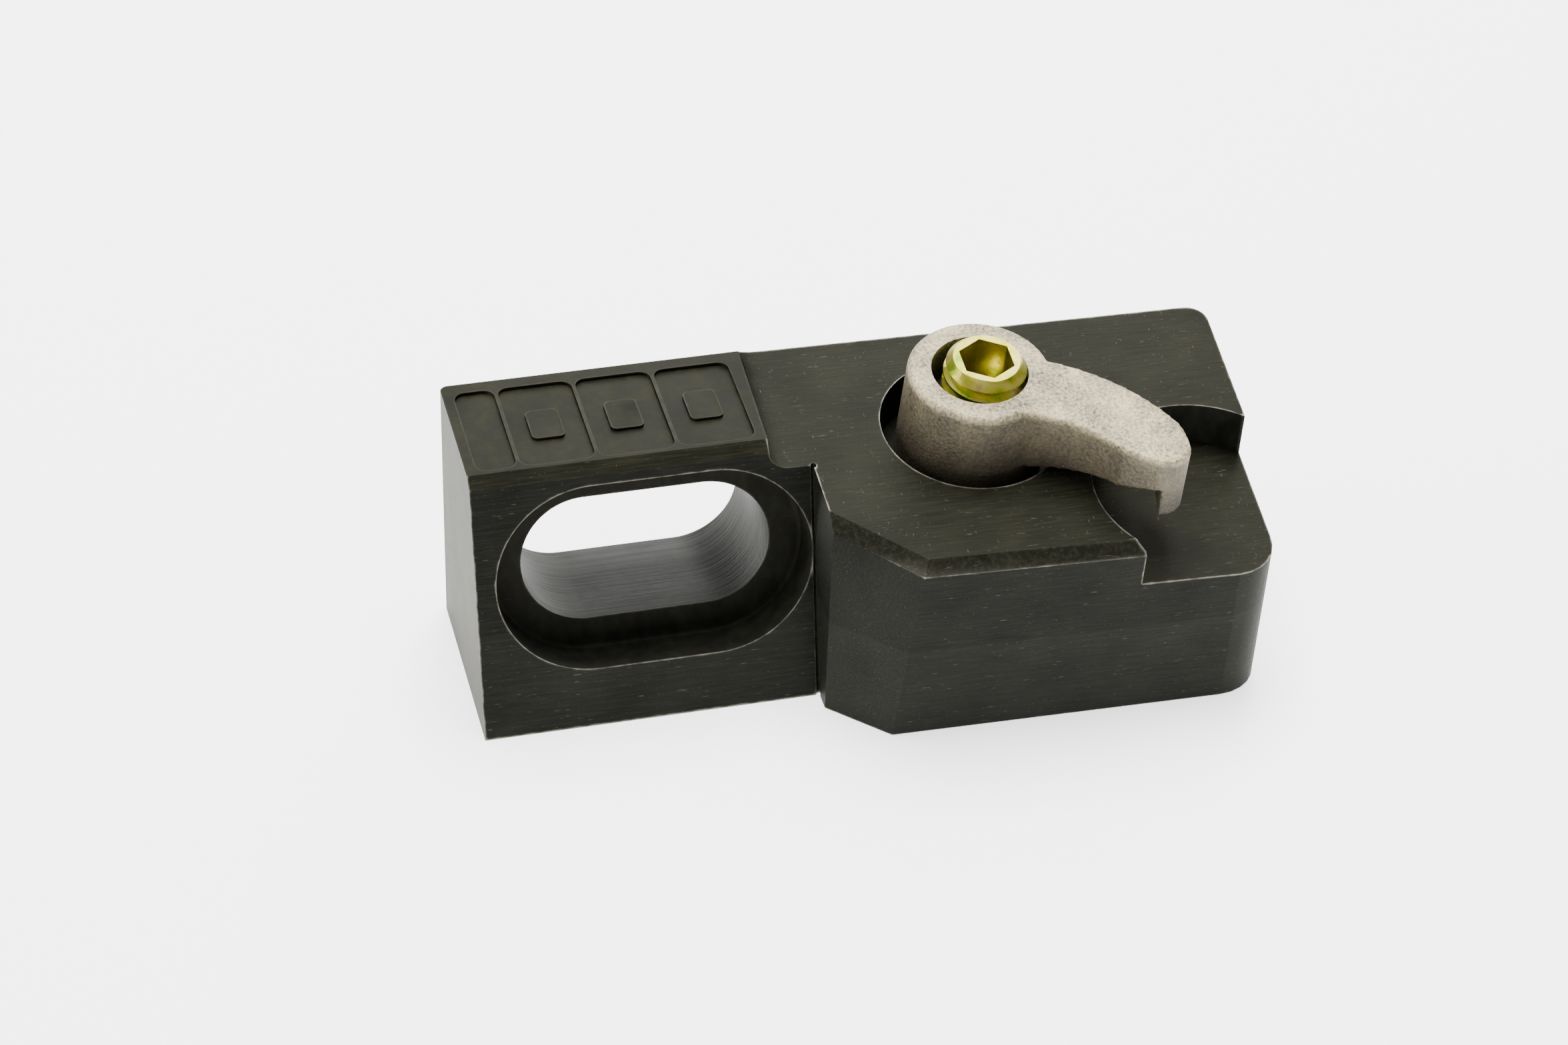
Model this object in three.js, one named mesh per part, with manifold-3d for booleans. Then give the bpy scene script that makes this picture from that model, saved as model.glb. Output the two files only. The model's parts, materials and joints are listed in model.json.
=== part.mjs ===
// Clamp-type tool-holder cartridge: a black-oxide steel holder block, a cast
// steel clamp finger and a double-ended clamp screw.
// Millimetres, +Z up. The origin is on the base, under the middle of the
// mounting slot and half way through the block's depth. +X runs towards the
// insert seat and -Y is the slotted front.
import * as THREE from "three";
import { ConvexGeometry } from "three/addons/geometries/ConvexGeometry.js";
import { mergeVertices } from "three/addons/utils/BufferGeometryUtils.js";
import Module from "manifold-3d";

// ---- holder block ----
const blockDepth = 21.5;         // base depth, front edge to back face
const slotToLeftEnd = 17.3;      // slot middle to the left end face
const slotToRightEnd = 59.5;     // slot middle to the right end face, at the back
const panelHeight = 26.4;        // base to the marking panel
const panelRight = 12.1;         // x of the step down from the panel, at the back
const panelStepLean = 1;         // the step starts this much further left at the front
const edgeRadius = 0.8;          // rounded upright corners
const faceLean = 12.8;           // degrees the slotted front leans back
const frontEdgeChamfer = 0.95;

// ---- obround mounting slot, square to the leaning front ----
const slotWidth = 12.7;
const slotCentres = 11.6;        // distance between its two end arcs' centres
const slotRise = 15.6;           // up the leaning front to its middle
const screwHeadWidth = 19.05;    // counterbore for the mounting screw's head
const screwHeadDepth = 4.65;

// ---- head: the thicker right part that carries the insert ----
const headWall = 15.6;           // its left side wall, past the slot
const headTopAtFront = 23.33;    // top height over the front base edge, at x = 0
const headTopRake = 8.04;        // degrees the top rises to the back
const headTopFall = 1.16;        // degrees the top falls to the right
const headCorner = 23.1;         // x of the upright edge between its front faces
const headReachBase = 7.35;      // how far its front stands out, at the base
const headReachTop = 9.95;       // the same at the top, at the upright edge
const headFrontSkew = 1.2;       // degrees its front face turns outwards to the right
const headCornerRadius = 4.5;    // front right corner
const headBackRadius = 2;        // back right corner
const headEndTaper = 2.3;        // degrees the right end face runs in towards the front
const headChamfer = 1.2;
const headCornerSetback = 2.2;   // the upright edge's foot, left of its top

// ---- round pocket for the clamp's boss, square to the head's top ----
const clampX = 32.1;
const clampFromFront = 8.66;     // clamp axis back from the front base edge
const bossPocketRadius = 8.87;
const bossPocketDepth = 5.2;

// ---- insert seat, square to the head's top ----
const seatX = 19.85;             // middle of its round wall, from the clamp axis
const seatY = -11.24;
const seatRadius = 10.65;
const seatWallEnd = -137;        // degrees round the wall to where it meets the front
const seatWallBack = 45;         // degrees round the wall to where it opens to the right
const seatDepth = 4.76;          // the thickness of the insert it takes

// ---- clamp screw: two opposite-handed threads on one stud ----
const screwRadius = 3.97;
const screwTop = 8.4;            // above the head's top
const screwShift = 0.5;          // its axis stands this far right of the boss's middle
const screwLength = 21;
const screwChamfer = 0.75;
const neckRadius = 3.1;
const neckLength = 2.5;
const neckBelow = 10.5;          // neck's middle, down from the screw's top
const hexAcrossFlats = 4.76;
const hexDepth = 5;
const threadClearance = 0.3;
const tappedDepthSpare = 3;      // tapped hole below the screw's end

// ---- clamp finger ----
const bossRadiusTop = 6.95;
const bossRadiusBottom = 7.2;
const bossRounding = 0.7;
const clampTop = 7;              // clamp's top face above the head's top
const bossInPocket = 3.8;        // how deep the boss sits in its pocket
const boreRadius = 4.65;         // clearance bore at the clamp's top
const boreDepth = 4.5;
const fingerOuterRadius = 21;    // round back edge of the finger, and its centre
const fingerOuterX = -2.3;
const fingerOuterY = -18.6;
const fingerInnerRadius = 14.5;  // hollow front edge, and its centre
const fingerInnerX = -1.8;
const fingerInnerY = -20.2;
const fingerOuterFrom = 82;      // degrees round each edge's centre, inside the boss
const fingerInnerTo = 88;
const tipStart = 24;             // degrees round the outer centre where the tip begins
const tipX = 13.6;               // front corner of the tip
const tipY = -14.8;
const tipBulge = 17.9;           // the rounded tip turns about this far out
const tipDrop = 1;               // and this far in front of its front corner
const tipInset = 2.2;            // the hollow edge begins this far behind the corner
const undersideAtAxis = -1.5;    // height of the sloping underside's line at the axis
const undersideClimb = 14;       // degrees it climbs away from the boss
const undersideAim = -25;        // the way it climbs, in degrees from +X
const noseAim = -12.5;           // degrees the nose's inner face is turned from square
const noseFrom = 17;             // clamp axis to the nose's inner face, square to it
const noseBottom = 0.05;         // nose end above the head's top

const roundSegments = 72;
const cornerSegments = 6;
const margin = 1;                // how far cutters run past what they cut
const clear = 50;                // how far cutters run to pass well out of the block
const away = 200;                // size of a cutter that trims a whole side

const wasm = await Module();
wasm.setup();

const radians = THREE.MathUtils.degToRad;
const frontY = -blockDepth / 2;
const backY = blockDepth / 2;

// ---- solids ----
function solidOf(geometry) {
  const bare = geometry.index ? geometry.toNonIndexed() : geometry.clone();
  for (const name of Object.keys(bare.attributes)) {
    if (name !== "position") bare.deleteAttribute(name);
  }
  const merged = mergeVertices(bare, 1e-5);
  return new wasm.Manifold(new wasm.Mesh({
    numProp: 3,
    vertProperties: new Float32Array(merged.attributes.position.array),
    triVerts: new Uint32Array(merged.index.array),
  }));
}

function geometryOf(solid) {
  const mesh = solid.getMesh();
  const geometry = new THREE.BufferGeometry();
  geometry.setAttribute("position", new THREE.BufferAttribute(mesh.vertProperties, 3));
  geometry.setIndex(new THREE.BufferAttribute(mesh.triVerts, 1));
  geometry.computeVertexNormals();
  return geometry;
}

function prism(shape, low, high, matrix = new THREE.Matrix4()) {
  const geometry = new THREE.ExtrudeGeometry(shape, {
    depth: high - low, bevelEnabled: false, curveSegments: roundSegments / 4,
  });
  geometry.translate(0, 0, low);
  return solidOf(geometry.applyMatrix4(matrix));
}

function cylinder(radius, low, high, matrix = new THREE.Matrix4()) {
  const geometry = new THREE.CylinderGeometry(radius, radius, high - low, roundSegments);
  geometry.rotateX(Math.PI / 2);
  geometry.translate(0, 0, (low + high) / 2);
  return solidOf(geometry.applyMatrix4(matrix));
}

// everything beyond a plane, as a large block standing on it
function beyond(point, normal) {
  const geometry = new THREE.BoxGeometry(away, away, away);
  geometry.translate(0, 0, away / 2);
  const turn = new THREE.Quaternion().setFromUnitVectors(
    new THREE.Vector3(0, 0, 1), normal.clone().normalize());
  geometry.applyQuaternion(turn);
  geometry.translate(point.x, point.y, point.z);
  return solidOf(geometry);
}

// cuts the edge where two planes meet, leg long along each of them
function chamferCut(edgePoint, normalA, normalB, leg) {
  const a = normalA.clone().normalize();
  const b = normalB.clone().normalize();
  const out = a.clone().add(b).normalize();
  const halfAngle = a.angleTo(b) / 2;
  const inset = leg * Math.sin(halfAngle);
  return beyond(edgePoint.clone().addScaledVector(out, -inset), out);
}

function obround(width, centres) {
  const shape = new THREE.Shape();
  const reach = centres / 2;
  shape.absarc(reach, 0, width / 2, -Math.PI / 2, Math.PI / 2, false);
  shape.absarc(-reach, 0, width / 2, Math.PI / 2, Math.PI * 1.5, false);
  shape.closePath();
  return shape;
}

// ---- frames of the leaning front and of the raked head top ----
// front frame: x along the block, y up the leaning front, z out of it
const frontFrame = new THREE.Matrix4()
  .makeTranslation(0, frontY, 0)
  .multiply(new THREE.Matrix4().makeRotationX(Math.PI / 2 - radians(faceLean)));
const frontOut = new THREE.Vector3(0, 0, 1).transformDirection(frontFrame);

function headTopAt(x, y) {
  return headTopAtFront - x * Math.tan(radians(headTopFall))
    + (y - frontY) * Math.tan(radians(headTopRake));
}
const clampY = frontY + clampFromFront;
const clampPoint = new THREE.Vector3(clampX, clampY, headTopAt(clampX, clampY));
const topNormal = new THREE.Vector3(
  Math.tan(radians(headTopFall)), -Math.tan(radians(headTopRake)), 1).normalize();
const topRight = new THREE.Vector3(1, 0, -Math.tan(radians(headTopFall))).normalize();
const topBack = new THREE.Vector3().crossVectors(topNormal, topRight);
const topFrame = new THREE.Matrix4()
  .makeBasis(topRight, topBack, topNormal)
  .setPosition(clampPoint);

const screwAxis = new THREE.Matrix4().makeTranslation(screwShift, 0, 0);

// ---- holder body ----
// left part: a rounded block whose front leans back
function mountingBlock() {
  const shape = new THREE.Shape();
  const left = -slotToLeftEnd;
  const right = headWall + margin;
  shape.moveTo(right, frontY);
  shape.lineTo(right, backY);
  shape.absarc(left + edgeRadius, backY - edgeRadius, edgeRadius, Math.PI / 2, Math.PI, false);
  shape.lineTo(left, frontY);
  shape.closePath();
  return prism(shape, 0, panelHeight)
    .subtract(beyond(new THREE.Vector3(0, frontY, 0), frontOut));
}

// outline of the head at the base (0) or the top (1), as points
function headOutline(level) {
  const reach = headReachBase + level * (headReachTop - headReachBase);
  const corner = headCorner - headCornerSetback * (1 - level);
  const skew = (slotToRightEnd - corner) * Math.tan(radians(headFrontSkew));
  const front = frontY - reach - skew;
  const right = slotToRightEnd - (backY - front) * Math.tan(radians(headEndTaper));
  const radius = headCornerRadius;
  const points = [
    [headWall, backY],
    [headWall, frontY - reach + corner - headWall],
    [corner, frontY - reach],
  ];
  for (let i = 0; i <= cornerSegments; i++) {
    const angle = (i / cornerSegments - 1) * Math.PI / 2;
    points.push([
      right - radius + radius * Math.cos(angle),
      front + radius + radius * Math.sin(angle),
    ]);
  }
  for (let i = 0; i <= cornerSegments; i++) {
    const angle = i / cornerSegments * Math.PI / 2;
    points.push([
      slotToRightEnd - headBackRadius + headBackRadius * Math.cos(angle),
      backY - headBackRadius + headBackRadius * Math.sin(angle),
    ]);
  }
  return points;
}

function headBlock() {
  const foot = headOutline(0).map(([x, y]) => new THREE.Vector3(x, y, 0));
  const top = headOutline(1).map(([x, y]) => new THREE.Vector3(x, y, panelHeight));
  return solidOf(new ConvexGeometry([...foot, ...top]));
}

// the three top edges of the head's front, bevelled
function headEdgeCuts() {
  const top = headOutline(1);
  const base = headOutline(0);
  const cuts = [];
  for (const i of [1, 2]) {
    const here = new THREE.Vector3(...top[i], panelHeight);
    const next = new THREE.Vector3(...top[i + 1], panelHeight);
    const under = new THREE.Vector3(...base[i], 0).sub(here);
    const wall = new THREE.Vector3().crossVectors(under, next.sub(here)).normalize();
    // where the upright edge meets the raked top
    const fall = under.clone();
    const gap = clampPoint.clone().sub(here).dot(topNormal) / fall.dot(topNormal);
    const edge = here.clone().addScaledVector(fall, gap);
    cuts.push(chamferCut(edge, wall, topNormal, headChamfer));
  }
  return cuts;
}

function holderBody() {
  const panelStep = new THREE.Shape([
    new THREE.Vector2(panelRight - panelStepLean, frontY),
    new THREE.Vector2(panelRight - panelStepLean, frontY - clear),
    new THREE.Vector2(slotToRightEnd + margin, frontY - clear),
    new THREE.Vector2(slotToRightEnd + margin, backY + margin),
    new THREE.Vector2(panelRight, backY + margin),
  ]);
  const overHead = prism(panelStep, 0, panelHeight + margin)
    .intersect(beyond(clampPoint, topNormal));
  let head = headBlock();
  for (const cut of headEdgeCuts()) head = head.subtract(cut);

  const panelFront = new THREE.Vector3(
    0, frontY + panelHeight * Math.tan(radians(faceLean)), panelHeight);
  const panelEdge = chamferCut(
    panelFront, frontOut, new THREE.Vector3(0, 0, 1), frontEdgeChamfer);
  const slotPlace = frontFrame.clone()
    .multiply(new THREE.Matrix4().makeTranslation(0, slotRise, 0));
  const slot = prism(obround(slotWidth, slotCentres), -clear, clear, slotPlace);
  const headSeat = prism(
    obround(screwHeadWidth, slotCentres), -screwHeadDepth, clear, slotPlace);
  const leftPart = mountingBlock().subtract(panelEdge).subtract(headSeat).subtract(slot);

  const seatPlace = topFrame.clone()
    .multiply(new THREE.Matrix4().makeTranslation(seatX, seatY, 0));
  const tappedPlace = topFrame.clone().multiply(screwAxis);
  const tappedBottom = screwTop - screwLength - tappedDepthSpare;
  return leftPart.add(head)
    .subtract(overHead)
    .subtract(cylinder(bossPocketRadius, -bossPocketDepth, clear, topFrame))
    .subtract(cylinder(screwRadius + threadClearance, tappedBottom, 0, tappedPlace))
    .subtract(insertSeat(seatPlace));
}

// round wall behind the insert, open to the front and to the right end
function insertSeat(place) {
  const shape = new THREE.Shape();
  const frontAngle = radians(seatWallEnd);
  const backAngle = radians(seatWallBack);
  const wallBackX = seatRadius * Math.cos(backAngle);
  const wallBackY = seatRadius * Math.sin(backAngle);
  shape.moveTo(seatRadius * Math.cos(frontAngle), seatRadius * Math.sin(frontAngle));
  shape.lineTo(seatRadius * Math.cos(frontAngle), -clear);
  shape.lineTo(clear, -clear);
  shape.lineTo(clear, wallBackY);
  shape.lineTo(wallBackX, wallBackY);
  shape.absarc(0, 0, seatRadius, backAngle, frontAngle + 2 * Math.PI, false);
  return prism(shape, -seatDepth, clear, place);
}

// ---- clamp finger, in the head top's frame ----
function fingerOutline() {
  const tipAngle = radians(tipStart);
  const inStart = Math.asin((tipY + tipInset - fingerInnerY) / fingerInnerRadius);
  const shape = new THREE.Shape();
  shape.absarc(fingerOuterX, fingerOuterY, fingerOuterRadius, radians(fingerOuterFrom), tipAngle, true);
  shape.quadraticCurveTo(tipBulge, tipY - tipDrop, tipX, tipY);
  shape.absarc(fingerInnerX, fingerInnerY, fingerInnerRadius, inStart, radians(fingerInnerTo), false);
  shape.closePath();
  return shape;
}

function clampFinger() {
  const profile = [
    [0, -bossInPocket],
    [bossRadiusBottom, -bossInPocket],
    [bossRadiusTop, clampTop - bossRounding],
  ];
  for (let i = 1; i <= cornerSegments; i++) {
    const angle = i / cornerSegments * Math.PI / 2;
    profile.push([
      bossRadiusTop - bossRounding * (1 - Math.cos(angle)),
      clampTop - bossRounding * (1 - Math.sin(angle)),
    ]);
  }
  profile.push([0, clampTop]);
  const boss = new THREE.LatheGeometry(
    profile.map(([r, h]) => new THREE.Vector2(r, h)), roundSegments);
  boss.rotateX(Math.PI / 2);

  const climb = radians(undersideClimb);
  const aim = radians(undersideAim);
  const down = new THREE.Vector3(
    Math.cos(aim) * Math.sin(climb), Math.sin(aim) * Math.sin(climb), -Math.cos(climb));
  const finger = prism(fingerOutline(), noseBottom, clampTop);
  const arm = finger.subtract(beyond(new THREE.Vector3(0, 0, undersideAtAxis), down));
  const noseWay = new THREE.Vector3(Math.cos(radians(noseAim)), Math.sin(radians(noseAim)), 0);
  const nose = finger.intersect(beyond(noseWay.clone().multiplyScalar(noseFrom), noseWay));
  return solidOf(boss).add(arm).add(nose)
    .subtract(cylinder(boreRadius, clampTop - boreDepth, clampTop + margin))
    .subtract(cylinder(screwRadius + threadClearance, -bossInPocket - margin, clampTop, screwAxis));
}

// ---- double-ended clamp screw, in the head top's frame ----
function clampScrew() {
  const end = screwTop - screwLength;
  const neck = screwTop - neckBelow;
  const slope = screwRadius - neckRadius;
  const profile = [
    [0, end],
    [screwRadius - screwChamfer, end],
    [screwRadius, end + screwChamfer],
    [screwRadius, neck - neckLength / 2 - slope],
    [neckRadius, neck - neckLength / 2],
    [neckRadius, neck + neckLength / 2],
    [screwRadius, neck + neckLength / 2 + slope],
    [screwRadius, screwTop - screwChamfer],
    [screwRadius - screwChamfer, screwTop],
    [0, screwTop],
  ];
  const stud = new THREE.LatheGeometry(
    profile.map(([r, h]) => new THREE.Vector2(r, h)), roundSegments);
  stud.rotateX(Math.PI / 2);
  const socket = new THREE.CylinderGeometry(
    hexAcrossFlats / Math.sqrt(3), hexAcrossFlats / Math.sqrt(3), hexDepth + margin, 6);
  socket.rotateX(Math.PI / 2);
  socket.translate(0, 0, screwTop + margin - (hexDepth + margin) / 2);
  return solidOf(stud.applyMatrix4(screwAxis)).subtract(solidOf(socket.applyMatrix4(screwAxis)));
}

// ---- assembly ----
function piece(name, solid, colour, roughness, metalness) {
  const material = new THREE.MeshStandardMaterial({ color: colour, roughness, metalness });
  const mesh = new THREE.Mesh(geometryOf(solid), material);
  mesh.name = name;
  return mesh;
}

const cartridge = new THREE.Group();
const onHeadTop = new THREE.Group();
onHeadTop.applyMatrix4(topFrame);
cartridge.add(piece("holder_body", holderBody(), 0x34342f, 0.5, 0.7));
onHeadTop.add(piece("clamp_finger", clampFinger(), 0xb9b0a0, 0.65, 0.5));
onHeadTop.add(piece("clamp_screw", clampScrew(), 0xc9bf62, 0.3, 0.85));
cartridge.add(onHeadTop);

export default cartridge;
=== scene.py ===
"""Clamp-type tool-holder cartridge: a blackened holder block with a slotted mounting
flange, a cast clamp finger and a double-ended clamp screw. Metres, +Z up."""
import json
import math

import bpy
from mathutils import Matrix, Vector

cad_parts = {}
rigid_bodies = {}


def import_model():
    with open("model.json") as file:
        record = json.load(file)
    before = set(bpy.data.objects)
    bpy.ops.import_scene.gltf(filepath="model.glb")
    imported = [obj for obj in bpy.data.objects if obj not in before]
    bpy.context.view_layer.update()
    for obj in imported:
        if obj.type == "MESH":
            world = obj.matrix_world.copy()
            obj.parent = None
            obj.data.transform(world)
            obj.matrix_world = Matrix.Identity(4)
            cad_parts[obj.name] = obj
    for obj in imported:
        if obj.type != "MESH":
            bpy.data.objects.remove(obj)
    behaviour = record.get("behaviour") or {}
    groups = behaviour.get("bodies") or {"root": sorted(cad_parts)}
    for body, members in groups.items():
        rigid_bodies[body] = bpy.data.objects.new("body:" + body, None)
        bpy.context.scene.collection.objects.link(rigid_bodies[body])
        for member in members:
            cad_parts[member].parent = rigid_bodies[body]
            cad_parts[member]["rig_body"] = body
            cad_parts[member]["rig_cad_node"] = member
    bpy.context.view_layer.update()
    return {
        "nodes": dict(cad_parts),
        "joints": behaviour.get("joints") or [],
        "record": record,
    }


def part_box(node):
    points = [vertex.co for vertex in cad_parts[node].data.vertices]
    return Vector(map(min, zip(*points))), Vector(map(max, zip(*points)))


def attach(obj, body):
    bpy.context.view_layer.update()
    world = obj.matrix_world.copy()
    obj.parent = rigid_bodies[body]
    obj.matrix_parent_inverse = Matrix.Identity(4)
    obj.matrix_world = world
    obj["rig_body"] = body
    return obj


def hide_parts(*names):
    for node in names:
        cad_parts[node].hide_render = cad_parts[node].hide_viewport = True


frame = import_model()
bpy.ops.object.select_all(action="DESELECT")


# ---- Holder block ----
# A milled steel block, blackened after machining. The raised left part carries
# the mounting slot and a sunken marking panel; the head to the right carries the
# clamp and the insert seat, and its top is raked.

holder_low, holder_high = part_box("holder_body")
screw_joint = next(j for j in frame["joints"] if j["name"] == "screw_turn")
mounts = {m["name"]: m for m in frame["record"]["mounts"]}

# the head top's own frame: its origin is on the clamp screw's axis
top_up = Vector(screw_joint["axis"]).normalized()
top_right = Vector((top_up.z, 0, -top_up.x)).normalized()
top_back = top_up.cross(top_right)
screw_point = Vector(screw_joint["pos_m"])
head_top = Matrix.Translation(screw_point) @ Matrix(
    (top_right, top_back, top_up)).transposed().to_4x4()
slot_out = Vector(mounts["slot_seat"]["axis"]).normalized()
slot_upward = Vector((1, 0, 0)).cross(-slot_out)
slot_offset = 0.0079              # the slot's middle, up the leaning front from that mount
slot_half_straight = 0.0058
slot_to_rim = 0.0085              # between the slot's radius and its counterbore's


def select_only(piece):
    """Leaves one object selected and active, in object mode."""
    bpy.ops.object.select_all(action="DESELECT")
    piece.select_set(True)
    bpy.context.view_layer.objects.active = piece


def merged_copy(node, name):
    """A copy of a CAD node as one closed skin of flat faces, ready to be shaped."""
    piece = frame["nodes"][node].copy()
    piece.data = piece.data.copy()
    piece.name = piece.data.name = name
    piece.parent = None
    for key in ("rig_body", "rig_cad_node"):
        if key in piece:
            del piece[key]
    piece.data.materials.clear()
    bpy.context.scene.collection.objects.link(piece)
    select_only(piece)
    bpy.ops.object.mode_set(mode="EDIT")
    bpy.ops.mesh.select_all(action="SELECT")
    bpy.ops.mesh.remove_doubles(threshold=0.000002)
    bpy.ops.mesh.dissolve_limited(angle_limit=math.radians(0.5))
    bpy.ops.object.mode_set(mode="OBJECT")
    return piece


def apply_place(piece, place):
    """Puts a piece where it belongs and stores that place in its mesh."""
    bpy.context.view_layer.update()
    piece.matrix_world = place @ piece.matrix_world
    select_only(piece)
    bpy.ops.object.transform_apply(location=True, rotation=True, scale=True)


def apply_modifier(piece, kind, **settings):
    select_only(piece)
    modifier = piece.modifiers.new(kind.lower(), kind)
    for key, value in settings.items():
        setattr(modifier, key, value)
    bpy.ops.object.modifier_apply(modifier=modifier.name)


def combine(piece, tool, operation):
    """Cuts, joins or trims a piece with a second solid, which is then removed."""
    apply_modifier(piece, "BOOLEAN", object=tool, operation=operation, solver="EXACT")
    bpy.data.objects.remove(tool)


def bevel_edges(piece, wanted, width, segments):
    """Rounds the edges whose two ends both pass the test."""
    select_only(piece)
    bpy.ops.object.mode_set(mode="EDIT")
    bpy.ops.mesh.select_mode(type="EDGE")
    bpy.ops.mesh.select_all(action="DESELECT")
    bpy.ops.object.mode_set(mode="OBJECT")
    points = piece.data.vertices
    chosen = 0
    for edge in piece.data.edges:
        ends = [points[i].co for i in edge.vertices]
        edge.select = wanted(ends[0]) and wanted(ends[1])
        chosen += edge.select
    if chosen:
        bpy.ops.object.mode_set(mode="EDIT")
        bpy.ops.mesh.bevel(offset=width, segments=segments, affect="EDGES", clamp_overlap=False)
        bpy.ops.object.mode_set(mode="OBJECT")


def rounded_block(name, size, radius, shear=0.0):
    """A block round its own middle with rounded upright edges, its +Y side moved by shear."""
    bpy.ops.mesh.primitive_cube_add(size=1)
    block = bpy.context.object
    block.name = name
    block.scale = size
    bpy.ops.object.transform_apply(scale=True)
    for point in block.data.vertices:
        point.select = point.co.y > 0
    bpy.ops.object.mode_set(mode="EDIT")
    bpy.ops.mesh.select_mode(type="VERT")
    bpy.ops.transform.translate(value=(shear, 0, 0))
    bpy.ops.mesh.select_mode(type="EDGE")
    bpy.ops.mesh.select_all(action="DESELECT")
    bpy.ops.object.mode_set(mode="OBJECT")
    for edge in block.data.edges:
        ends = [block.data.vertices[i].co for i in edge.vertices]
        edge.select = abs(ends[0].z - ends[1].z) > size[2] / 2
    bpy.ops.object.mode_set(mode="EDIT")
    bpy.ops.mesh.bevel(offset=radius, segments=5, affect="EDGES")
    bpy.ops.object.mode_set(mode="OBJECT")
    return block


holder = merged_copy("holder_body", "holder_block")

# round the step's foot and the counterbore's floor, as the cutters left them
step_back_x = 0.0121
step_lean = 0.001                 # it stands this much further left at the front
block_depth = 0.0215
on_face = 0.00005                 # a point this near a face lies on it
on_floor = 0.00003
step_foot_radius = 0.0019
floor_fillet = 0.0004
counterbore_point = Vector(mounts["slot_seat"]["pos_m"])
to_head_top = head_top.inverted()


def at_step_foot(point):
    along = (holder_high.y - point.y) / block_depth
    on_step = abs(point.x - (step_back_x - step_lean * along)) < on_face
    return on_step and abs((to_head_top @ point).z) < on_face


def at_counterbore_foot(point):
    offset = point - counterbore_point
    sideways = max(abs(point.x) - slot_half_straight, 0)
    upward = offset.dot(slot_upward) - slot_offset
    at_rim = math.hypot(sideways, upward) > slot_to_rim
    return at_rim and abs(offset.dot(slot_out)) < on_floor


bevel_edges(holder, at_step_foot, step_foot_radius, 6)
bevel_edges(holder, at_counterbore_foot, floor_fillet, 3)

# four sunken cells in the marking panel, with plain raised pads in three of them
cell_depth = 0.00035
cell_front = -0.0033
cell_back = 0.0093
cell_dividers = [-0.0167, -0.0125, -0.005, 0.0027, 0.0104]
divider_width = 0.00035
cell_corner_radius = 0.0011
cell_shear = 0.0006               # a cell's back end stands this much further right
cutter_height = 0.002
pad_size = (0.0032, 0.0045, 0.0011)
pad_corner_radius = 0.0006
pad_shear = 0.0002
pad_drop = 0.0006                 # a pad's middle, below the top: it ends just under the top
cell_length = cell_back - cell_front
cell_middle = (cell_front + cell_back) / 2
cells = list(zip(cell_dividers, cell_dividers[1:]))
for left, right in cells:
    cell_size = (right - left - divider_width, cell_length, cutter_height)
    cell = rounded_block("cell", cell_size, cell_corner_radius, shear=cell_shear)
    cell.location = (
        (left + right) / 2 - cell_shear / 2, cell_middle,
        holder_high.z - cell_depth + cutter_height / 2)
    apply_place(cell, Matrix.Identity(4))
    combine(holder, cell, "DIFFERENCE")
for left, right in cells[1:]:
    pad = rounded_block("pad", pad_size, pad_corner_radius, shear=pad_shear)
    pad.location = ((left + right) / 2, cell_middle, holder_high.z - pad_drop)
    apply_place(pad, Matrix.Identity(4))
    combine(holder, pad, "UNION")

# a thin undercut where the leaning front meets the head's side wall
wall_x = 0.0156
undercut_radius = 0.0003
lean = math.atan2(slot_out.z, -slot_out.y)
bpy.ops.mesh.primitive_cylinder_add(
    vertices=12, radius=undercut_radius, depth=0.06,
    location=(wall_x, -block_depth / 2, 0), rotation=(-lean, 0, 0))
undercut = bpy.context.object
apply_place(undercut, Matrix.Identity(4))
combine(holder, undercut, "DIFFERENCE")

# the sharp edges are slightly broken
edge_break = 0.00016
apply_modifier(
    holder, "BEVEL", width=edge_break, segments=1, limit_method="ANGLE",
    angle_limit=math.radians(33), use_clamp_overlap=True)
select_only(holder)
bpy.ops.object.shade_smooth_by_angle(angle=math.radians(16))
wide_face = 0.00004               # the broad flat faces keep flat shading to their edges
edge_of = {edge.key: edge for edge in holder.data.edges}
for face in holder.data.polygons:
    if face.area > wide_face:
        for key in face.edge_keys:
            edge_of[key].use_edge_sharp = True


def new_group(name, inputs, outputs):
    """An empty shader group with named number, vector or colour sockets."""
    group = bpy.data.node_groups.new(name, "ShaderNodeTree")
    for label, kind, value in inputs:
        socket = group.interface.new_socket(label, in_out="INPUT", socket_type=kind)
        socket.default_value = value
    for label, kind in outputs:
        group.interface.new_socket(label, in_out="OUTPUT", socket_type=kind)
    return group


def math_node(tree, operation, first, second=None, clamp=False):
    node = tree.nodes.new("ShaderNodeMath")
    node.operation = operation
    node.use_clamp = clamp
    for index, value in enumerate((first, second)):
        if value is None:
            continue
        if isinstance(value, (int, float)):
            node.inputs[index].default_value = value
        else:
            tree.links.new(value, node.inputs[index])
    return node.outputs[0]


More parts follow.
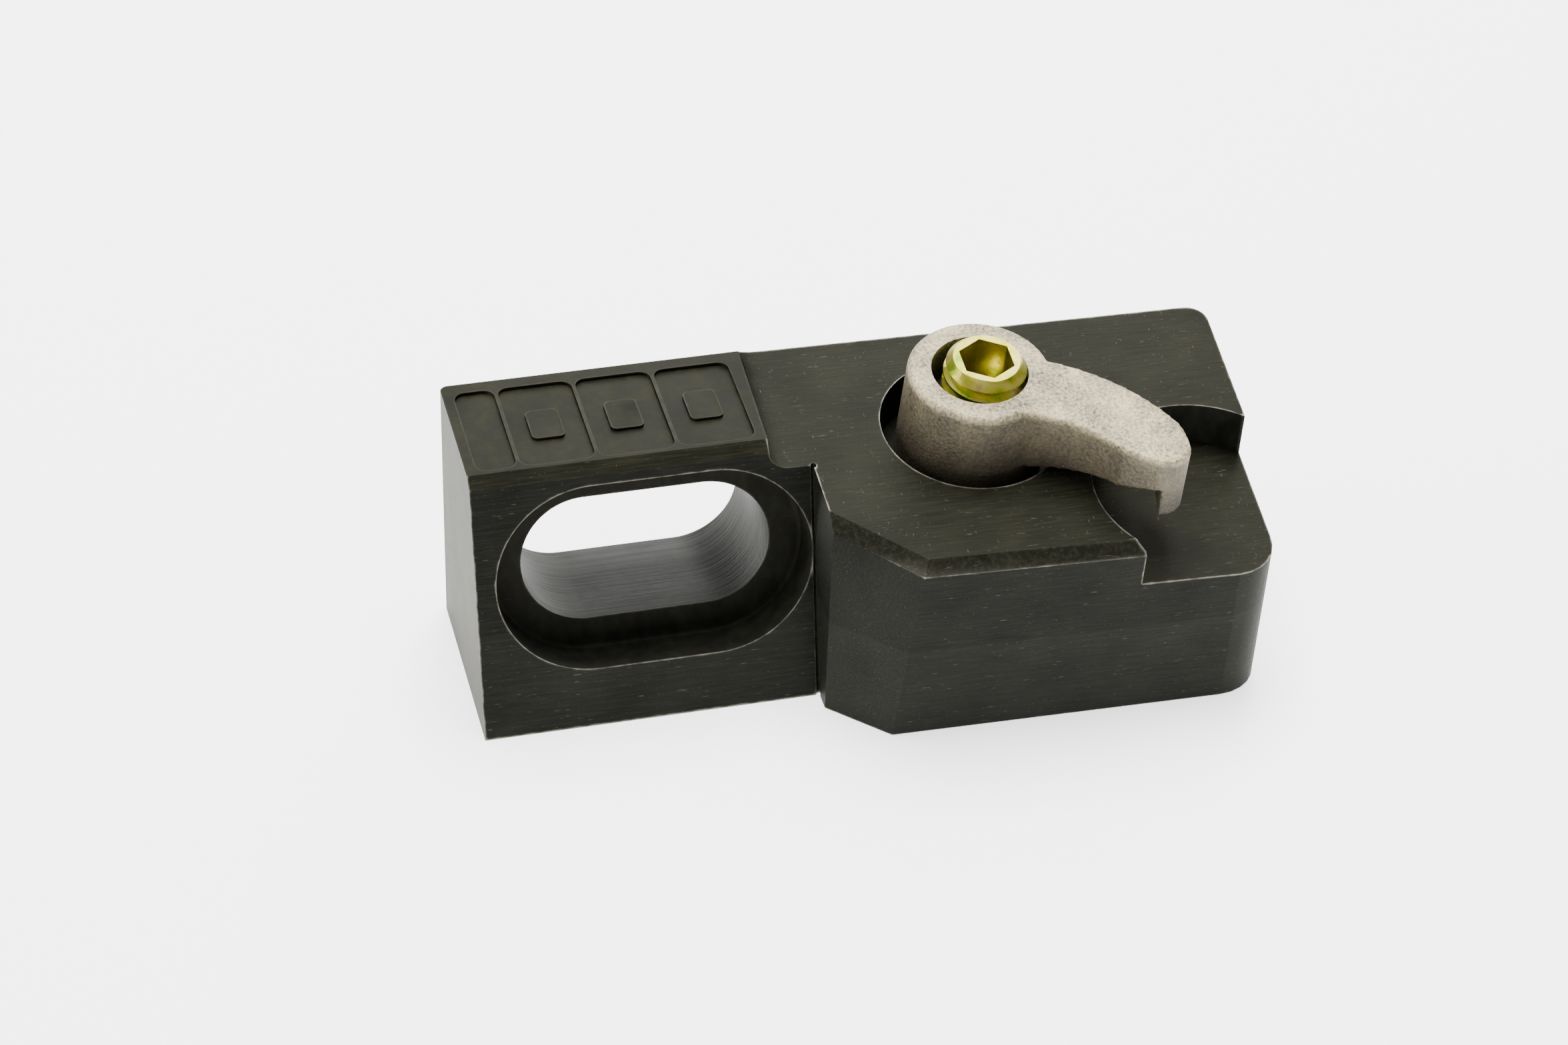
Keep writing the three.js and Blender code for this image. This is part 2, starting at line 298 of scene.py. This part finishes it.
def edge_wear_group():
    """Marks outside edges, broken up so that the wear comes and goes along them."""
    group = new_group("edge wear", [
        ("Reach", "NodeSocketFloat", 0.0005), ("Break-up", "NodeSocketFloat", 0.5),
    ], [("Mask", "NodeSocketFloat")])
    nodes, links = group.nodes, group.links
    given = nodes.new("NodeGroupInput")
    put = nodes.new("NodeGroupOutput")
    inside = nodes.new("ShaderNodeAmbientOcclusion")
    inside.inside = True
    inside.only_local = True
    inside.samples = 8
    links.new(given.outputs["Reach"], inside.inputs["Distance"])
    place = nodes.new("ShaderNodeTexCoord")
    patches = nodes.new("ShaderNodeTexNoise")
    patches.inputs["Scale"].default_value = 900
    patches.inputs["Detail"].default_value = 5
    links.new(place.outputs["Object"], patches.inputs["Vector"])
    edge = math_node(group, "SUBTRACT", 1.0, inside.outputs["AO"])
    gain = math_node(group, "MULTIPLY", edge, 3.0)
    broken = math_node(group, "MULTIPLY", patches.outputs["Fac"], given.outputs["Break-up"])
    worn = math_node(group, "SUBTRACT", gain, broken)
    links.new(math_node(group, "MULTIPLY", worn, 1.3, clamp=True), put.inputs["Mask"])
    return group


def machined_lay_group():
    """Fine lay lines along one direction and sparse light scratches across them."""
    group = new_group("machined lay", [
        ("Lay", "NodeSocketVector", (60, 2500, 2500)),
        ("Turn", "NodeSocketVector", (0, 0, 0)),
    ], [("Lines", "NodeSocketFloat"), ("Scratches", "NodeSocketFloat"), ("Cloud", "NodeSocketFloat")])
    nodes, links = group.nodes, group.links
    given = nodes.new("NodeGroupInput")
    put = nodes.new("NodeGroupOutput")
    place = nodes.new("ShaderNodeTexCoord")
    turned = nodes.new("ShaderNodeMapping")
    links.new(place.outputs["Object"], turned.inputs["Vector"])
    links.new(given.outputs["Turn"], turned.inputs["Rotation"])
    stretched = nodes.new("ShaderNodeVectorMath")
    stretched.operation = "MULTIPLY"
    links.new(turned.outputs[0], stretched.inputs[0])
    links.new(given.outputs["Lay"], stretched.inputs[1])
    lines = nodes.new("ShaderNodeTexNoise")
    lines.inputs["Scale"].default_value = 1
    lines.inputs["Detail"].default_value = 4
    links.new(stretched.outputs[0], lines.inputs["Vector"])
    links.new(lines.outputs["Fac"], put.inputs["Lines"])
    total = None
    ways = (
        ((0.3, 0.5, 0.6), (700, 7200, 7200)), ((0.9, 0.2, 2.1), (900, 6400, 6400)),
        ((0.1, 1.1, 1.2), (6800, 800, 6800)))
    for turn, stretch in ways:
        way = nodes.new("ShaderNodeMapping")
        way.inputs["Rotation"].default_value = turn
        way.inputs["Scale"].default_value = stretch
        links.new(place.outputs["Object"], way.inputs["Vector"])
        marks = nodes.new("ShaderNodeTexNoise")
        marks.inputs["Scale"].default_value = 1
        marks.inputs["Detail"].default_value = 1
        links.new(way.outputs[0], marks.inputs["Vector"])
        peaks = math_node(group, "SUBTRACT", marks.outputs["Fac"], 0.725)
        sharp = math_node(group, "MULTIPLY", peaks, 10, clamp=True)
        total = sharp if total is None else math_node(group, "MAXIMUM", total, sharp)
    links.new(total, put.inputs["Scratches"])
    cloud = nodes.new("ShaderNodeTexNoise")
    cloud.inputs["Scale"].default_value = 170
    cloud.inputs["Detail"].default_value = 4
    links.new(place.outputs["Object"], cloud.inputs["Vector"])
    links.new(cloud.outputs["Fac"], put.inputs["Cloud"])
    return group


edge_wear = edge_wear_group()
machined_lay = machined_lay_group()


def mix_colour(tree, amount, first, second):
    node = tree.nodes.new("ShaderNodeMix")
    node.data_type = "RGBA"
    factor, a, b = node.inputs[0], node.inputs[6], node.inputs[7]
    for socket, value in ((factor, amount), (a, first), (b, second)):
        if isinstance(value, (int, float)):
            socket.default_value = value
        elif isinstance(value, tuple):
            socket.default_value = (*value, 1)
        else:
            tree.links.new(value, socket)
    return node.outputs[2]


pass_height = 0.0108              # the side was milled in two passes that meet here


def blackened_steel(name, dark, light, worn, roughness, lay, turn=(0, 0, 0), wear=1.0,
                    relief=0.00003, pass_line=False):
    """Black oxide over a milled surface: cloudy colour, lay lines, scratches and bright edges."""
    material = bpy.data.materials.new(name)
    material.use_nodes = True
    tree = material.node_tree
    shader = tree.nodes["Principled BSDF"]
    finish = tree.nodes.new("ShaderNodeGroup")
    finish.node_tree = machined_lay
    finish.inputs["Lay"].default_value = lay
    finish.inputs["Turn"].default_value = turn
    edges = tree.nodes.new("ShaderNodeGroup")
    edges.node_tree = edge_wear
    edges.inputs["Reach"].default_value = 0.00035
    edges.inputs["Break-up"].default_value = 1.7
    raised_lines = math_node(tree, "SUBTRACT", finish.outputs["Lines"], 0.42)
    lines = math_node(tree, "MULTIPLY", raised_lines, 3, clamp=True)
    light_cloud = math_node(tree, "SUBTRACT", finish.outputs["Cloud"], 0.3)
    cloud = math_node(tree, "MULTIPLY", light_cloud, 1.6, clamp=True)
    tone = math_node(tree, "MULTIPLY", math_node(tree, "ADD", lines, cloud), 0.5)
    if pass_line:
        place = tree.nodes.new("ShaderNodeTexCoord")
        split = tree.nodes.new("ShaderNodeSeparateXYZ")
        tree.links.new(place.outputs["Object"], split.inputs[0])
        below = math_node(tree, "SUBTRACT", pass_height, split.outputs["Z"])
        lower_pass = math_node(tree, "MULTIPLY", below, 9000, clamp=True)
        tone = math_node(tree, "ADD", tone, math_node(tree, "MULTIPLY", lower_pass, 0.22))
    base = mix_colour(tree, tone, dark, light)
    scratches = math_node(tree, "MULTIPLY", finish.outputs["Scratches"], 0.3 * wear)
    scratched = mix_colour(tree, scratches, base, worn)
    edge_mask = math_node(tree, "MULTIPLY", edges.outputs["Mask"], wear)
    tree.links.new(mix_colour(tree, edge_mask, scratched, worn), shader.inputs["Base Color"])
    rough = math_node(tree, "ADD", roughness, math_node(tree, "MULTIPLY", lines, 0.12))
    tree.links.new(rough, shader.inputs["Roughness"])
    bare = math_node(tree, "ADD", 0.08, math_node(tree, "MULTIPLY", edge_mask, 0.7))
    tree.links.new(bare, shader.inputs["Metallic"])
    shader.inputs["Specular IOR Level"].default_value = 0.06
    shader.inputs["Specular Tint"].default_value = (1, 1, 0.85, 1)
    bump = tree.nodes.new("ShaderNodeBump")
    bump.inputs["Strength"].default_value = 0.5
    bump.inputs["Distance"].default_value = relief
    tree.links.new(finish.outputs["Lines"], bump.inputs["Height"])
    tree.links.new(bump.outputs["Normal"], shader.inputs["Normal"])
    return material


worn_edge = (0.15, 0.145, 0.12)
facing_slot = (math.atan2(slot_out.z, -slot_out.y) - math.pi / 2, 0, 0)
finishes = (
    blackened_steel("blackened top", (0.0030, 0.0030, 0.0016), (0.0180, 0.0180, 0.0098), worn_edge, 0.5,
                    (260, 5200, 5200)),
    # the sides' colours are darker than the top's: painted shade, as less light falls on them
    blackened_steel("blackened sides", (0.0018, 0.0020, 0.0015), (0.0150, 0.0156, 0.0128), worn_edge, 0.5,
                    (240, 5200, 5200), pass_line=True),
    blackened_steel("blackened recesses", (0.005, 0.005, 0.0038), (0.018, 0.018, 0.0135), worn_edge, 0.6,
                    (900, 900, 400), wear=0.2),
    blackened_steel("milled slot wall", (0.010, 0.0105, 0.010), (0.062, 0.063, 0.060), worn_edge, 0.45,
                    (80, 80, 2600), turn=facing_slot, wear=0.2, relief=0.0001),
    # the left end's much lighter colour is painted reflection of the white surroundings at a grazing
    # angle; its lay lines are the real milling
    blackened_steel("milled left end", (0.014, 0.014, 0.0105), (0.07, 0.068, 0.053), worn_edge, 0.45,
                    (2600, 420, 4200)),
    blackened_steel("marking panel", (0.0030, 0.0030, 0.0016), (0.0180, 0.0180, 0.0098), worn_edge, 0.5,
                    (900, 900, 900), wear=0.12),
    # painted highlight: the head's tilted chamfers get a lighter colour than the top, where they catch
    # the light
    blackened_steel("rubbed bands", (0.005, 0.005, 0.0032), (0.022, 0.0216, 0.014), worn_edge, 0.45,
                    (2600, 2600, 2600)),
)
TOP, SIDE, RECESS, SLOT, END, PANEL, BAND = range(7)
for material in finishes:
    holder.data.materials.append(material)

slot_middle = counterbore_point + slot_upward * slot_offset
seat_x, seat_y, seat_radius = 0.01935, -0.01124, 0.01065
boss_axis_x = -0.0005
boss_pocket_radius = 0.00887
slot_reach = 0.0066               # just outside the slot's wall
counterbore_reach = 0.0097        # just outside the counterbore's wall
counterbore_lip = 0.0044          # just below the counterbore's edge, up from its floor
pocket_margin = 0.0002
seat_margin = 0.0003
seat_wall_front = -0.0185         # nearer the front, the seat's wall is a plain side
end_margin = 0.001
divider_margin = 0.0003
cell_margin = 0.0002
cell_floor_margin = 0.0001


def finish_of(face):
    """Which finish a face of the block has, from where it lies and which way it faces."""
    offset = face.center - slot_middle
    across = math.hypot(max(abs(offset.x) - slot_half_straight, 0), offset.dot(slot_upward))
    local = to_head_top @ face.center
    upright = abs(face.normal.dot(top_up)) < 0.3
    if across < slot_reach and abs(face.normal.dot(slot_out)) < 0.4:
        return SLOT
    if across < counterbore_reach and offset.dot(slot_out) < counterbore_lip:
        return RECESS
    boss_reach = math.hypot(local.x - boss_axis_x, local.y)
    if boss_reach < boss_pocket_radius + pocket_margin and local.z < -pocket_margin:
        return RECESS
    seat_reach = math.hypot(local.x - seat_x, local.y - seat_y)
    on_seat_wall = upright and abs(seat_reach - seat_radius) < seat_margin
    if on_seat_wall and local.z < -seat_margin and local.y > seat_wall_front:
        return RECESS
    if face.normal.x < -0.9 and face.center.x < holder_low.x + end_margin:
        return END
    between_ends = cell_dividers[0] - divider_margin < face.center.x < cell_dividers[-1] + divider_margin
    in_cells = between_ends and cell_front - cell_margin < face.center.y < cell_back + cell_margin
    if in_cells and face.center.z > holder_high.z - cell_depth - cell_floor_margin:
        return PANEL
    # the head's tilted chamfers take the band finish with its painted highlight
    if 0.4 < face.normal.z < 0.93 and face.center.x > wall_x:
        return BAND
    return TOP if face.normal.z > 0.5 else SIDE


for face in holder.data.polygons:
    face.material_index = finish_of(face)

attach(holder, "holder")
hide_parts("holder_body")


# ---- Clamp finger ----
# An investment casting in steel: a round boss that sits in the holder's pocket and a
# curved finger whose nose presses on the insert. Only its two bores are machined.

clearance_bore_radius = 0.00466
clearance_bore_floor = 0.0025
stud_bore_radius = 0.00412
overshoot = 0.001                 # how far a bore's tool stands out of the casting
plug_radius = 0.0053              # the bores are filled while the casting is softened
clamp_top = 0.007
clamp_low = -0.0038
finger = merged_copy("clamp_finger", "clamp_casting")
bpy.ops.mesh.primitive_cylinder_add(
    vertices=48, radius=plug_radius, depth=clamp_top - clamp_low - 0.0001,
    location=(boss_axis_x, 0, (clamp_top + clamp_low) / 2))
plug = bpy.context.object
apply_place(plug, head_top)
combine(finger, plug, "UNION")
apply_modifier(finger, "REMESH", mode="VOXEL", voxel_size=0.00017, use_smooth_shade=True)
apply_modifier(finger, "SMOOTH", factor=0.5, iterations=9)
bore_tools = (
    (clearance_bore_radius, clearance_bore_floor, clamp_top + overshoot, boss_axis_x),
    (stud_bore_radius, clamp_low - overshoot, clamp_top, 0),
)
for radius, low, high, shift in bore_tools:
    bpy.ops.mesh.primitive_cylinder_add(
        vertices=64, radius=radius, depth=high - low, location=(shift, 0, (low + high) / 2))
    bore = bpy.context.object
    apply_place(bore, head_top)
    combine(finger, bore, "DIFFERENCE")
select_only(finger)
bpy.ops.object.shade_smooth_by_angle(angle=math.radians(62))


def cast_steel(name, pale, shade):
    """Blasted casting: a sandy grain, with painted shade that darkens it towards the bottom and painted
    light on its crown.
    """
    material = bpy.data.materials.new(name)
    material.use_nodes = True
    tree = material.node_tree
    shader = tree.nodes["Principled BSDF"]
    place = tree.nodes.new("ShaderNodeTexCoord")
    grains = tree.nodes.new("ShaderNodeTexNoise")
    grains.inputs["Scale"].default_value = 3300
    grains.inputs["Detail"].default_value = 3
    cloud = tree.nodes.new("ShaderNodeTexNoise")
    cloud.inputs["Scale"].default_value = 320
    cloud.inputs["Detail"].default_value = 3
    for texture in (grains, cloud):
        tree.links.new(place.outputs["Object"], texture.inputs["Vector"])
    tone = math_node(tree, "ADD", math_node(tree, "MULTIPLY", grains.outputs["Fac"], 0.7),
                     math_node(tree, "MULTIPLY", cloud.outputs["Fac"], 0.5))
    tone = math_node(tree, "MULTIPLY", math_node(tree, "SUBTRACT", tone, 0.38), 2.0, clamp=True)
    # painted light and shade: the colour is darkest at the bottom, lighter with height and lightest on
    # the crown, as the light falls from above
    height = tree.nodes.new("ShaderNodeVectorMath")
    height.operation = "DOT_PRODUCT"
    tree.links.new(place.outputs["Object"], height.inputs[0])
    height.inputs[1].default_value = top_up
    above = math_node(tree, "SUBTRACT", height.outputs["Value"], screw_point.dot(top_up))
    side = math_node(tree, "MULTIPLY", above, 0.2 / clamp_top, clamp=True)
    over_crown = math_node(tree, "SUBTRACT", above, clamp_top - 0.0008)
    crown = math_node(tree, "MULTIPLY", over_crown, 1300, clamp=True)
    painted_light = math_node(tree, "ADD", 0.07, side)
    painted_light = math_node(tree, "ADD", painted_light, math_node(tree, "MULTIPLY", crown, 0.73))
    tone = math_node(tree, "MULTIPLY", tone, painted_light)
    tree.links.new(mix_colour(tree, tone, shade, pale), shader.inputs["Base Color"])
    shader.inputs["Metallic"].default_value = 0.1
    shader.inputs["Roughness"].default_value = 0.56
    bump = tree.nodes.new("ShaderNodeBump")
    bump.inputs["Strength"].default_value = 0.9
    bump.inputs["Distance"].default_value = 0.00012
    tree.links.new(grains.outputs["Fac"], bump.inputs["Height"])
    tree.links.new(bump.outputs["Normal"], shader.inputs["Normal"])
    return material


finger.data.materials.clear()
finger.data.materials.append(cast_steel("cast steel, blasted", (0.60, 0.50, 0.29), (0.018, 0.014, 0.007)))
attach(finger, "clamp")
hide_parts("clamp_finger")


# ---- Clamp screw ----
# A double-ended stud with opposite-handed threads, turned from bar, zinc plated and
# yellow passivated. A hexagon socket in its upper end takes the key.

stud_radius = 0.00397
thread_pitch = 0.001411
thread_root = 0.0031
stud_top = 0.0084
stud_end = -0.0126
upper_thread_foot = -0.0012
lower_thread_top = -0.0030
neck_length = 0.003
stud_chamfer = 0.00075
socket_flats = 0.00476
socket_depth = 0.005
drill_radius = 0.0021
drill_point_height = 0.0026
drill_point_drop = 0.0012         # the cone's middle, below the socket's floor


def threaded_stud(low, high, hand):
    """A threaded length between two heights. hand is 1 for right-hand, -1 for left-hand."""
    turns = math.ceil((high - low) / thread_pitch) + 3
    bpy.ops.mesh.primitive_circle_add(vertices=5, radius=0.001)
    core = bpy.context.object
    crest = stud_radius + 0.00003
    # one pitch of the thread's outline: each point's radius and its share of the pitch
    profile = ((thread_root, 0), (crest, 0.40), (crest, 0.54), (thread_root, 0.94), (thread_root, 1))
    for point, (radius, share) in zip(core.data.vertices, profile):
        point.co = (radius, 0, share * thread_pitch)
    # the circle's closing edge goes, so the outline is open and its turns join up
    for edge in core.data.edges:
        edge.select = {0, 4} == set(edge.vertices)
    for point in core.data.vertices:
        point.select = False
    select_only(core)
    bpy.ops.object.mode_set(mode="EDIT")
    bpy.ops.mesh.select_mode(type="EDGE")
    bpy.ops.mesh.delete(type="EDGE_FACE")
    bpy.ops.object.mode_set(mode="OBJECT")
    apply_modifier(
        core, "SCREW", axis="Z", angle=math.tau * hand, screw_offset=thread_pitch,
        iterations=turns, steps=40, render_steps=40, use_merge_vertices=False)
    bpy.ops.object.mode_set(mode="EDIT")
    bpy.ops.mesh.select_all(action="SELECT")
    bpy.ops.mesh.remove_doubles(threshold=0.000002)
    bpy.ops.mesh.select_all(action="DESELECT")
    # the swept skin is open at both ends; each gets a cap
    bpy.ops.mesh.select_non_manifold()
    bpy.ops.mesh.edge_face_add()
    bpy.ops.mesh.select_all(action="SELECT")
    bpy.ops.mesh.normals_make_consistent(inside=False)
    bpy.ops.object.mode_set(mode="OBJECT")
    core.location.z = low - thread_pitch * 1.5
    apply_place(core, Matrix.Identity(4))
    spare = 0.001
    bpy.ops.mesh.primitive_cylinder_add(
        vertices=80, radius=stud_radius, depth=high - low + 4 * spare, location=(0, 0, (low + high) / 2))
    envelope = bpy.context.object
    combine(core, envelope, "INTERSECT")
    narrow = stud_radius - stud_chamfer
    wide = narrow + high - low + spare
    for radii, shift in (((wide, narrow), -spare / 2), ((narrow, wide), spare / 2)):
        bpy.ops.mesh.primitive_cone_add(
            vertices=80, radius1=radii[0], radius2=radii[1], depth=high - low + spare,
            location=(0, 0, (low + high) / 2 + shift))
        end_cone = bpy.context.object
        combine(core, end_cone, "INTERSECT")
    return core


stud = threaded_stud(upper_thread_foot, stud_top, -1)
lower_stud = threaded_stud(stud_end, lower_thread_top, 1)
bpy.ops.mesh.primitive_cylinder_add(
    vertices=80, radius=thread_root - 0.00005, depth=neck_length,
    location=(0, 0, (upper_thread_foot + lower_thread_top) / 2))
neck = bpy.context.object
combine(stud, neck, "UNION")
combine(stud, lower_stud, "UNION")

bpy.ops.mesh.primitive_cylinder_add(
    vertices=6, radius=socket_flats / math.sqrt(3), depth=socket_depth + 0.001,
    location=(0, 0, stud_top + (0.001 - socket_depth) / 2))
socket = bpy.context.object
apply_place(socket, Matrix.Identity(4))
combine(stud, socket, "DIFFERENCE")
bpy.ops.mesh.primitive_cone_add(
    vertices=32, radius1=0, radius2=drill_radius, depth=drill_point_height,
    location=(0, 0, stud_top - socket_depth - drill_point_drop))
drill_point = bpy.context.object
combine(stud, drill_point, "DIFFERENCE")
apply_modifier(
    stud, "BEVEL", width=0.00005, segments=2, limit_method="ANGLE", angle_limit=math.radians(28))
stud.name = stud.data.name = "clamp_stud"
apply_place(stud, head_top)
select_only(stud)
bpy.ops.object.shade_smooth_by_angle(angle=math.radians(30))


def yellow_zinc(name):
    """Yellow passivated zinc: bright, drifting from straw to green and pink."""
    material = bpy.data.materials.new(name)
    material.use_nodes = True
    tree = material.node_tree
    shader = tree.nodes["Principled BSDF"]
    place = tree.nodes.new("ShaderNodeTexCoord")
    drift = tree.nodes.new("ShaderNodeTexNoise")
    drift.inputs["Scale"].default_value = 520
    drift.inputs["Detail"].default_value = 3
    tree.links.new(place.outputs["Object"], drift.inputs["Vector"])
    ramp = tree.nodes.new("ShaderNodeValToRGB")
    stops = (
        (0.30, (0.13, 0.24, 0.012)), (0.45, (0.36, 0.33, 0.03)),
        (0.60, (0.42, 0.38, 0.08)), (0.74, (0.34, 0.20, 0.09)))
    ramp.color_ramp.elements[0].position = stops[0][0]
    ramp.color_ramp.elements[0].color = (*stops[0][1], 1)
    ramp.color_ramp.elements[1].position = stops[-1][0]
    ramp.color_ramp.elements[1].color = (*stops[-1][1], 1)
    for position, colour in stops[1:-1]:
        ramp.color_ramp.elements.new(position).color = (*colour, 1)
    tree.links.new(drift.outputs["Fac"], ramp.inputs["Fac"])
    tree.links.new(ramp.outputs["Color"], shader.inputs["Base Color"])
    shader.inputs["Metallic"].default_value = 0.95
    shader.inputs["Roughness"].default_value = 0.27
    grain = tree.nodes.new("ShaderNodeTexNoise")
    grain.inputs["Scale"].default_value = 3500
    tree.links.new(place.outputs["Object"], grain.inputs["Vector"])
    bump = tree.nodes.new("ShaderNodeBump")
    bump.inputs["Strength"].default_value = 0.25
    bump.inputs["Distance"].default_value = 0.00003
    tree.links.new(grain.outputs["Fac"], bump.inputs["Height"])
    tree.links.new(bump.outputs["Normal"], shader.inputs["Normal"])
    return material


stud.data.materials.clear()
stud.data.materials.append(yellow_zinc("yellow zinc plate"))
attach(stud, "screw")
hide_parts("clamp_screw")


# ---- Floor, light and camera ----
# A pale floor that glows a little, under soft studio light, seen from the front left
# and above. The glow keeps the floor nearly white and also lights the block from below.

bpy.ops.mesh.primitive_plane_add(size=3, location=(0, 0, -0.00002))
floor = bpy.context.object
floor.name = "floor"
floor_material = bpy.data.materials.new("pale floor")
floor_material.use_nodes = True
floor_shader = floor_material.node_tree.nodes["Principled BSDF"]
floor_shader.inputs["Base Color"].default_value = (0.9, 0.9, 0.89, 1)
floor_shader.inputs["Roughness"].default_value = 0.8
floor_shader.inputs["Emission Color"].default_value = (1, 1, 1, 1)
floor_shader.inputs["Emission Strength"].default_value = 1.8
floor.data.materials.append(floor_material)

world = bpy.data.worlds.new("studio")
bpy.context.scene.world = world
world.use_nodes = True
world.node_tree.nodes["Background"].inputs["Color"].default_value = (1, 1, 1, 1)
world.node_tree.nodes["Background"].inputs["Strength"].default_value = 0.6

middle = Vector((0.02, 0, 0.012))
lights = (
    ("overhead softbox", (0.02, 0.16, 0.75), 0.5, 19),
    ("back softbox", (0.25, 0.65, 0.45), 0.5, 6),
    ("left softbox", (-0.7, 0.05, 0.30), 0.4, 4),
)
for name, place, width, power in lights:
    bpy.ops.object.light_add(type="AREA", location=place)
    lamp = bpy.context.object
    lamp.name = name
    lamp.data.size = width
    lamp.data.energy = power
    lamp.rotation_euler = (middle - Vector(place)).to_track_quat("-Z", "Y").to_euler()

bpy.ops.object.camera_add(
    location=(-0.06886, -0.30741, 0.2565),
    rotation=(math.radians(52.60), math.radians(-1.553), math.radians(-13.96)))
camera = bpy.context.object
camera.data.lens = 94.9
camera.data.sensor_width = 36
camera.data.clip_start = 0.01
bpy.context.scene.camera = camera
